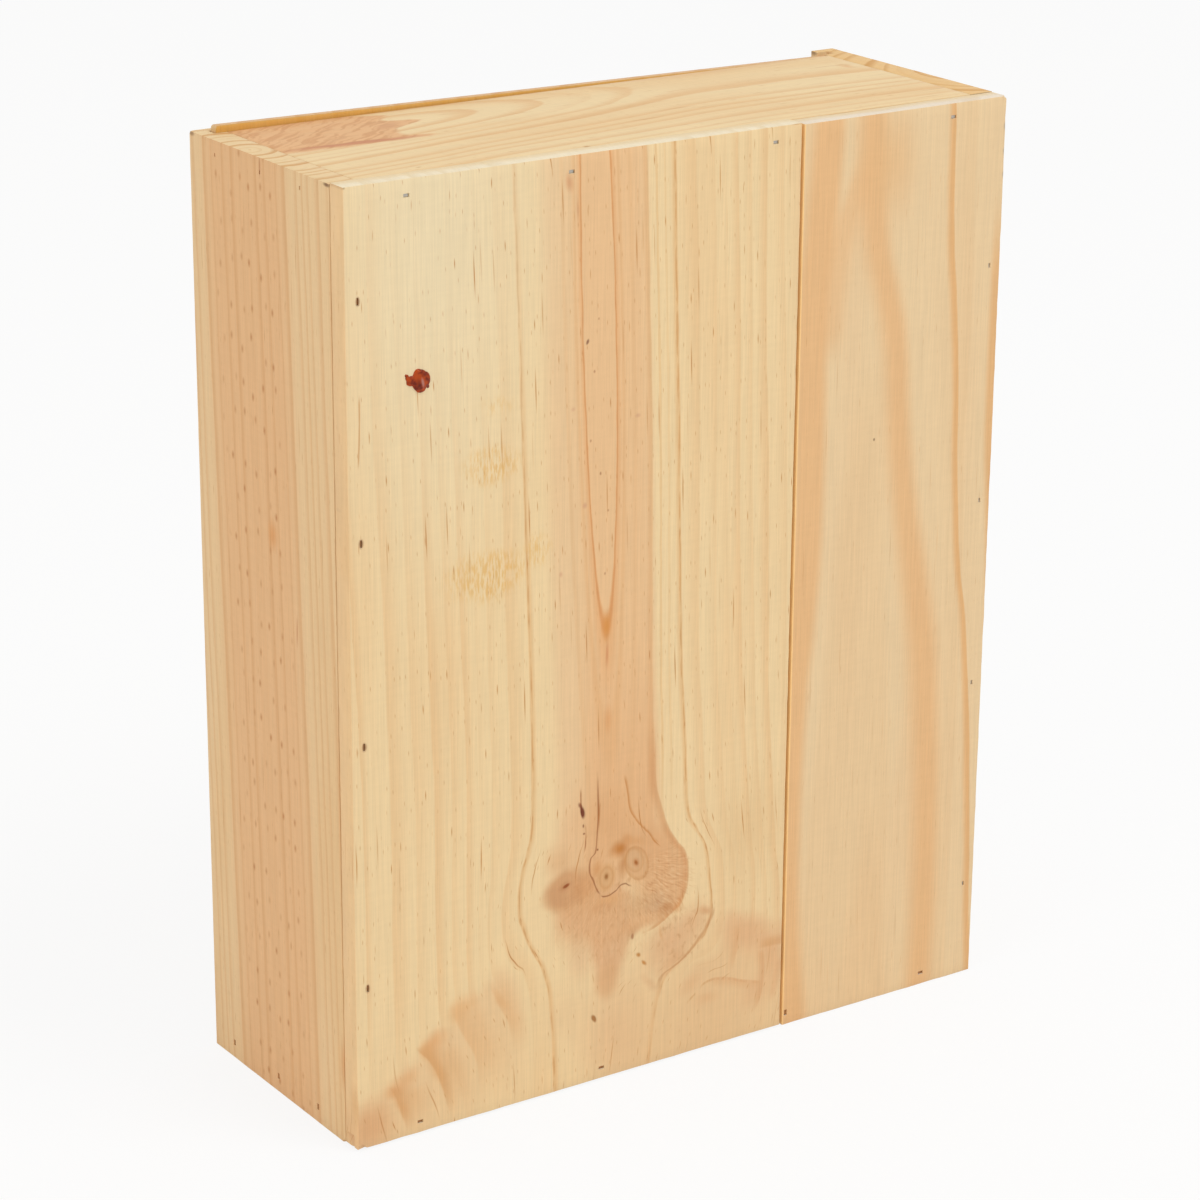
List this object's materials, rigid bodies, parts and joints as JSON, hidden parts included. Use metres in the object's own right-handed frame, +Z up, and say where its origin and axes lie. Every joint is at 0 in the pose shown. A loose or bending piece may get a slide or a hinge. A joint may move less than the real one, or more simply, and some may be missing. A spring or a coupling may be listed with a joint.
{
  "type": "wooden wine box",
  "caption": "Pine wine box of nailed boards, with a thin lid that slides out along grooves in the sides and dividers between the bottle bays, standing on its closed end.",
  "frame": {"origin": "middle of the closed end's footprint, on the floor that the box stands on", "axes": "+Z up along the bottles to the end where the lid slides out, +Y from the base boards to the lid, +X to the side of the narrow base board"},
  "size_m": [0.272, 0.102, 0.3422],
  "materials": {
    "pine_board": "bare planed pine",
    "pine_lid": "bare planed pine",
    "pine_divider": "bare sawn pine",
    "brad_steel": "dull galvanised wire"
  },
  "bodies": {
    "box": {"left_side_board": "pine_board", "right_side_board": "pine_board", "top_end_board": "pine_board", "bottom_end_board": "pine_board", "wide_base_board": "pine_board", "narrow_base_board": "pine_board", "bottle_divider_1": "pine_divider", "bottle_divider_2": "pine_divider", "left_side_brads": "brad_steel", "right_side_brads": "brad_steel", "wide_base_brads": "brad_steel", "narrow_base_brads": "brad_steel"},
    "lid": {"sliding_lid": "pine_lid"}
  },
  "joints": [
    {"name": "lid_slide", "type": "slide", "parent": "box", "child": "lid", "axis": [0, 0, 1], "range_m": [0, 0.345]}
  ]
}
